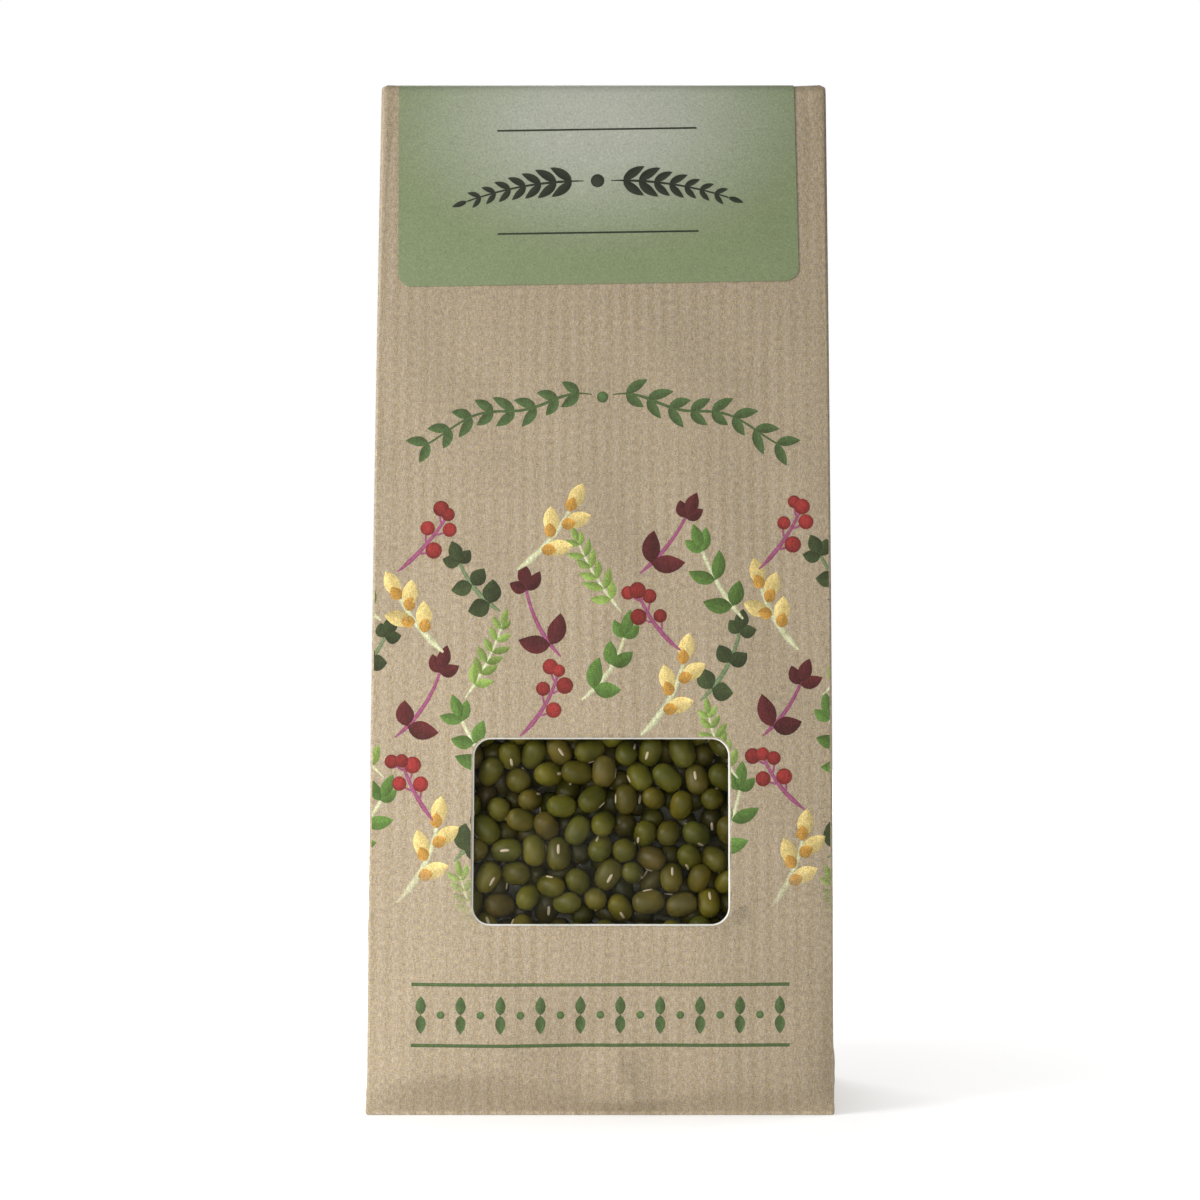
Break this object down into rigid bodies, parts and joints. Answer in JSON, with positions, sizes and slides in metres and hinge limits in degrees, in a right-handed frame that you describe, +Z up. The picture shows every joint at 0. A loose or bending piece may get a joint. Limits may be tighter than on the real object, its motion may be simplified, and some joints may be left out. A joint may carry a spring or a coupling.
{
  "type": "paper packet of mung beans",
  "caption": "Upright kraft paper block-bottom packet of dry mung beans, with a clear film window in front and a green label folded over its closed top.",
  "frame": {"origin": "middle of the flat base, on the surface that the packet stands on", "axes": "+Z up to the top fold, +Y to the back, +X to the right as seen from the front"},
  "size_m": [0.072, 0.0419, 0.1626],
  "materials": {
    "kraft_paper": "uncoated ribbed kraft",
    "clear_film": "clear",
    "label_paper": "coated satin",
    "bean_skin": "smooth satin seed coat"
  },
  "bodies": {
    "root": {"paper_bag": "kraft_paper", "window_film": "clear_film", "top_label": "label_paper", "mung_beans": "bean_skin"}
  },
  "joints": []
}
